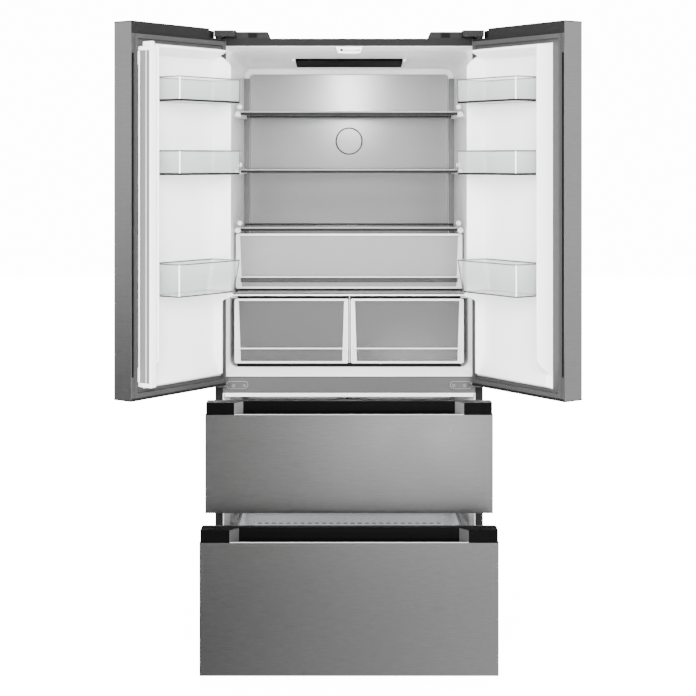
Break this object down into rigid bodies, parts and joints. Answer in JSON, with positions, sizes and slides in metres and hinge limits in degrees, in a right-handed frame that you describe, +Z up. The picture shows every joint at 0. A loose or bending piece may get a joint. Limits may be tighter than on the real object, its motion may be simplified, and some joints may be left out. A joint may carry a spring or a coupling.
{
  "type": "french door refrigerator",
  "caption": "Tall refrigerator with twin swinging fridge doors, a folding centre mullion, shelves, crispers and stacked pull-out freezer drawers.",
  "frame": {"origin": "on the floor, under the middle of the cabinet's front plane", "axes": "+Z up along the height, +Y from the front to the back, +X to the right as seen by someone standing in front"},
  "size_m": [1.3586, 1.0784, 1.898],
  "materials": {
    "cabinet_paint": "satin",
    "zinc_sheet": "satin",
    "foam": "matte",
    "drawer_core": "matte",
    "fridge_liner": "satin",
    "freezer_liner": "satin",
    "cross_rails": "satin",
    "steel_panel": "satin",
    "lamp_lens": "gloss",
    "white_plastic": "satin",
    "shelf_glass": "polished",
    "shelf_trim": "satin",
    "crisper_cover": "satin",
    "hinge_steel": "satin",
    "screw_steel": "satin",
    "charcoal_plastic": "matte",
    "foot_plastic": "matte",
    "rail_steel": "satin",
    "black_paint": "satin",
    "fan_plastic": "satin",
    "roller_plastic": "matte",
    "wide_crisper": "gloss",
    "lower_crisper": "gloss",
    "mullion_white": "satin",
    "mullion_plate": "satin",
    "brushed_steel": "satin",
    "door_cap": "satin",
    "door_frame": "satin",
    "door_liner": "satin",
    "gasket": "matte",
    "door_bin": "gloss",
    "drawer_trim": "satin",
    "basket": "gloss"
  },
  "bodies": {
    "cabinet": {"outer_shell": "cabinet_paint", "rear_panel": "zinc_sheet", "compressor_cover": "zinc_sheet", "insulation": "foam", "fridge_liner": "fridge_liner", "freezer_liner": "freezer_liner", "cross_rails": "cross_rails", "cooling_panel": "steel_panel", "ceiling_lamp": "lamp_lens", "mullion_guide": "white_plastic", "shelf_glasses": "shelf_glass", "shelf_trims": "shelf_trim", "crisper_cover": "crisper_cover", "crisper_divider": "white_plastic", "top_hinges": "hinge_steel", "hinge_covers": "charcoal_plastic", "middle_hinges": "hinge_steel", "hinge_screws": "screw_steel", "base_pan": "zinc_sheet", "front_feet": "foot_plastic", "cabinet_rails": "rail_steel", "compressor": "black_paint", "duct_cover": "white_plastic", "fan_motor": "black_paint"},
    "fan": {"fan_blade": "fan_plastic"},
    "rollers": {"rear_rollers": "roller_plastic"},
    "wide_crisper": {"wide_crisper": "wide_crisper"},
    "left_crisper": {"left_crisper": "lower_crisper"},
    "right_crisper": {"right_crisper": "lower_crisper"},
    "mullion": {"flip_mullion": "mullion_white", "mullion_plate": "mullion_plate"},
    "upper_rails": {"upper_middle_rails": "rail_steel"},
    "lower_rails": {"lower_middle_rails": "rail_steel"},
    "left_door": {"left_door_skin": "brushed_steel", "left_door_caps": "door_cap", "left_door_core": "foam", "left_door_frame": "door_frame", "left_door_liner": "door_liner", "left_door_gasket": "gasket", "left_door_bins": "door_bin", "mullion_brackets": "mullion_white"},
    "right_door": {"right_door_skin": "brushed_steel", "right_door_caps": "door_cap", "right_door_core": "foam", "right_door_frame": "door_frame", "right_door_liner": "door_liner", "right_door_gasket": "gasket", "right_door_bins": "door_bin"},
    "upper_drawer": {"upper_drawer_front": "brushed_steel", "upper_drawer_trim": "drawer_trim", "upper_drawer_core": "drawer_core", "upper_drawer_gasket": "gasket", "upper_drawer_basket": "basket", "upper_drawer_slides": "rail_steel"},
    "lower_drawer": {"lower_drawer_front": "brushed_steel", "lower_drawer_trim": "drawer_trim", "lower_drawer_core": "drawer_core", "lower_drawer_gasket": "gasket", "lower_drawer_basket": "basket", "lower_drawer_slides": "rail_steel"}
  },
  "joints": [
    {"name": "left_door_swing", "type": "hinge", "parent": "cabinet", "child": "left_door", "pos_m": [-0.4024, -0.0272, 1.35], "axis": [0, 0, -1], "range_deg": [-126.6, 0]},
    {"name": "right_door_swing", "type": "hinge", "parent": "cabinet", "child": "right_door", "pos_m": [0.4024, -0.0272, 1.35], "axis": [0, 0, 1], "range_deg": [-125.2, 1.4]},
    {"name": "mullion_flip", "type": "hinge", "parent": "left_door", "child": "mullion", "pos_m": [-0.61084, -0.34468, 1.333], "axis": [0, 0, 1], "range_deg": [-90.05, 0]},
    {"name": "upper_drawer_slide", "type": "slide", "parent": "cabinet", "child": "upper_drawer", "axis": [0, -1, 0], "range_m": [-0.2497, 0.1721]},
    {"name": "upper_rail_slide", "type": "slide", "parent": "cabinet", "child": "upper_rails", "axis": [0, -1, 0], "range_m": [-0.12486, 0.08606]},
    {"name": "lower_drawer_slide", "type": "slide", "parent": "cabinet", "child": "lower_drawer", "axis": [0, -1, 0], "range_m": [-0.4218, 0]},
    {"name": "lower_rail_slide", "type": "slide", "parent": "cabinet", "child": "lower_rails", "axis": [0, -1, 0], "range_m": [-0.21091, 0]},
    {"name": "wide_crisper_slide", "type": "slide", "parent": "cabinet", "child": "wide_crisper", "axis": [0, -1, 0], "range_m": [0, 0.25]},
    {"name": "left_crisper_slide", "type": "slide", "parent": "cabinet", "child": "left_crisper", "axis": [0, -1, 0], "range_m": [0, 0.3]},
    {"name": "right_crisper_slide", "type": "slide", "parent": "cabinet", "child": "right_crisper", "axis": [0, -1, 0], "range_m": [0, 0.3]},
    {"name": "fan_spin", "type": "hinge", "parent": "cabinet", "child": "fan", "pos_m": [0, 0.47, 0.655], "axis": [0, 1, 0], "continuous": true},
    {"name": "roller_roll", "type": "hinge", "parent": "cabinet", "child": "rollers", "pos_m": [0, 0.52, 0.022], "axis": [1, 0, 0], "continuous": true}
  ],
  "couplings": [
    {"joint": "mullion_flip", "follows": "left_door_swing", "ratio": 0.7109},
    {"joint": "upper_rail_slide", "follows": "upper_drawer_slide", "ratio": 0.5},
    {"joint": "lower_rail_slide", "follows": "lower_drawer_slide", "ratio": 0.5}
  ]
}
